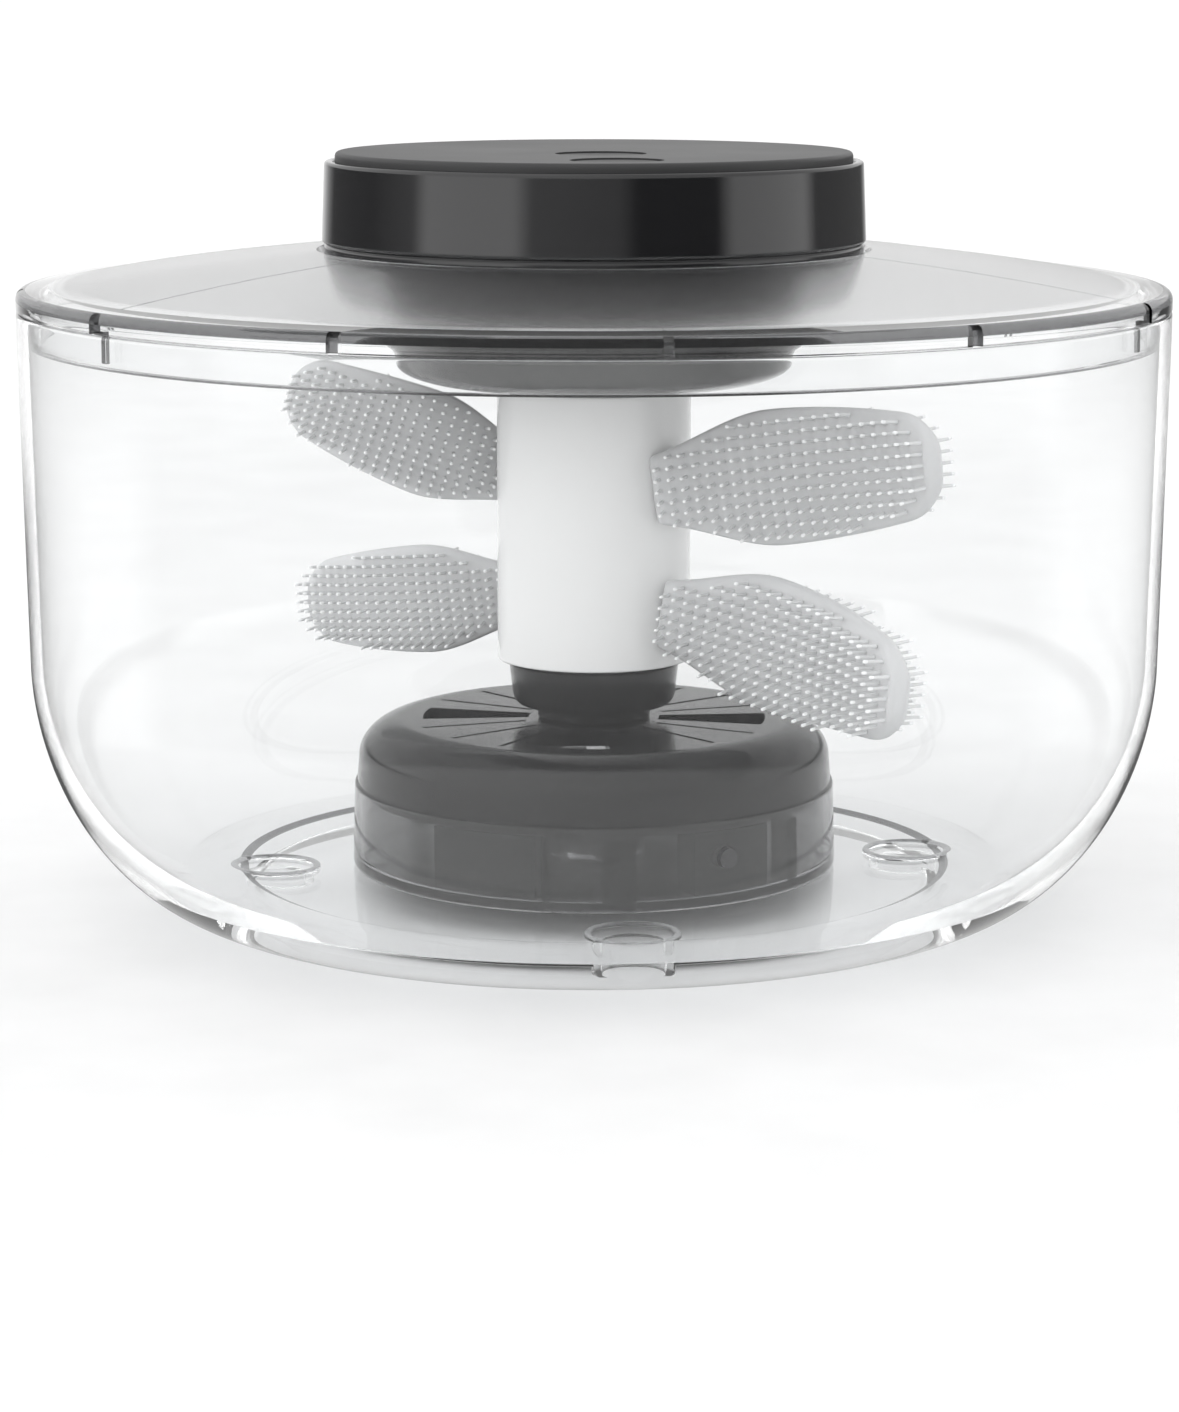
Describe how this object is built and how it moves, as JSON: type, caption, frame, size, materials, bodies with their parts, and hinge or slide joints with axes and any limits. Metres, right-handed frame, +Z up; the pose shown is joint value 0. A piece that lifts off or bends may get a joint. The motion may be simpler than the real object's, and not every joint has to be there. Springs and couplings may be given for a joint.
{
  "type": "brush cleaner",
  "caption": "Clear lidded bowl with a battery motor cap that spins a white column of curved bristle paddles above a smoky slotted grit trap.",
  "frame": {"origin": "centre of the underside of the foot ring, on the column axis", "axes": "+Z up along the column axis, -Y towards the front, where the two buttons are"},
  "size_m": [0.25, 0.25, 0.1653],
  "materials": {
    "clear_plastic": "clear polished",
    "smoky_plastic": "translucent smoky grey, glossy",
    "black_gloss_plastic": "polished black",
    "black_satin_plastic": "fine satin",
    "dark_plastic": "plain moulded",
    "white_gloss_plastic": "glossy white",
    "acetal": "natural acetal",
    "silicone": "translucent pale grey silicone",
    "black_rubber": "matt rubber",
    "steel": "plain steel",
    "foil_pouch": "pouch foil",
    "circuit_board": "solder resist green"
  },
  "bodies": {
    "bowl": {"bowl": "clear_plastic", "trap_tray": "smoky_plastic", "trap_dome": "smoky_plastic", "ballast_block_1": "steel", "ballast_block_2": "steel", "latch_block_1": "dark_plastic", "latch_block_2": "dark_plastic", "pivot_cup": "smoky_plastic", "pivot_bush": "acetal", "pivot_pin": "steel", "pivot_screw": "steel"},
    "latch_button_1": {"latch_button_1": "dark_plastic"},
    "latch_button_2": {"latch_button_2": "dark_plastic"},
    "lid": {"lid_shell": "clear_plastic", "motor_dish": "smoky_plastic", "dish_bearing": "acetal", "shaft_seal": "black_rubber"},
    "brush_column": {"column_tube": "white_gloss_plastic", "drive_hub": "acetal", "column_foot": "acetal", "brush_arm_1": "acetal", "brush_arm_2": "acetal", "brush_arm_3": "acetal", "brush_arm_4": "acetal", "bristle_pad_1": "silicone", "bristle_pad_2": "silicone", "bristle_pad_3": "silicone", "bristle_pad_4": "silicone"},
    "motor_unit": {"cap_shell": "black_gloss_plastic", "top_panel": "black_satin_plastic", "motor_pot": "dark_plastic", "cap_seal": "black_rubber", "output_bearing": "steel", "gear_plate": "dark_plastic", "chassis_plate": "dark_plastic", "motor": "steel", "battery_pack": "foil_pouch", "control_board": "circuit_board", "usb_socket": "steel", "case_screw_1": "steel", "case_screw_2": "steel", "case_screw_3": "steel", "case_screw_4": "steel"},
    "output": {"output_gear": "acetal", "output_shaft": "steel"},
    "pinion": {"motor_pinion": "acetal"},
    "power_button": {"power_button": "black_satin_plastic"},
    "mode_button": {"mode_button": "black_satin_plastic"},
    "port_flap": {"port_flap": "black_rubber"}
  },
  "joints": [
    {"name": "lid_lift", "type": "slide", "parent": "bowl", "child": "lid", "axis": [0, 0, 1], "range_m": [0, 0.12]},
    {"name": "column_spin", "type": "hinge", "parent": "lid", "child": "brush_column", "pos_m": [0, 0, 0.1], "axis": [0, 0, 1], "continuous": true},
    {"name": "motor_unit_lift", "type": "slide", "parent": "lid", "child": "motor_unit", "axis": [0, 0, 1], "range_m": [0, 0.05]},
    {"name": "output_spin", "type": "hinge", "parent": "motor_unit", "child": "output", "pos_m": [0, 0, 0.125], "axis": [0, 0, 1], "continuous": true},
    {"name": "pinion_spin", "type": "hinge", "parent": "motor_unit", "child": "pinion", "pos_m": [0.021, 0, 0.128], "axis": [0, 0, 1], "continuous": true},
    {"name": "power_press", "type": "slide", "parent": "motor_unit", "child": "power_button", "axis": [0, 0, -1], "range_m": [0, 0.0012], "stiffness_N_per_m": 300, "springref_m": -0.001},
    {"name": "mode_press", "type": "slide", "parent": "motor_unit", "child": "mode_button", "axis": [0, 0, -1], "range_m": [0, 0.0012], "stiffness_N_per_m": 300, "springref_m": -0.001},
    {"name": "port_flap_hinge", "type": "hinge", "parent": "motor_unit", "child": "port_flap", "pos_m": [0.0075, 0.05842, 0.1498], "axis": [0, 0, -1], "range_deg": [0, 100]},
    {"name": "latch_press_1", "type": "slide", "parent": "bowl", "child": "latch_button_1", "axis": [-0.4305, 0.9026, 0], "range_m": [0, 0.0015], "stiffness_N_per_m": 300, "springref_m": -0.001},
    {"name": "latch_press_2", "type": "slide", "parent": "bowl", "child": "latch_button_2", "axis": [0.4305, -0.9026, 0], "range_m": [0, 0.0015], "stiffness_N_per_m": 300, "springref_m": -0.001}
  ],
  "couplings": [
    {"joint": "output_spin", "follows": "column_spin", "ratio": 1},
    {"joint": "pinion_spin", "follows": "column_spin", "ratio": -3}
  ]
}
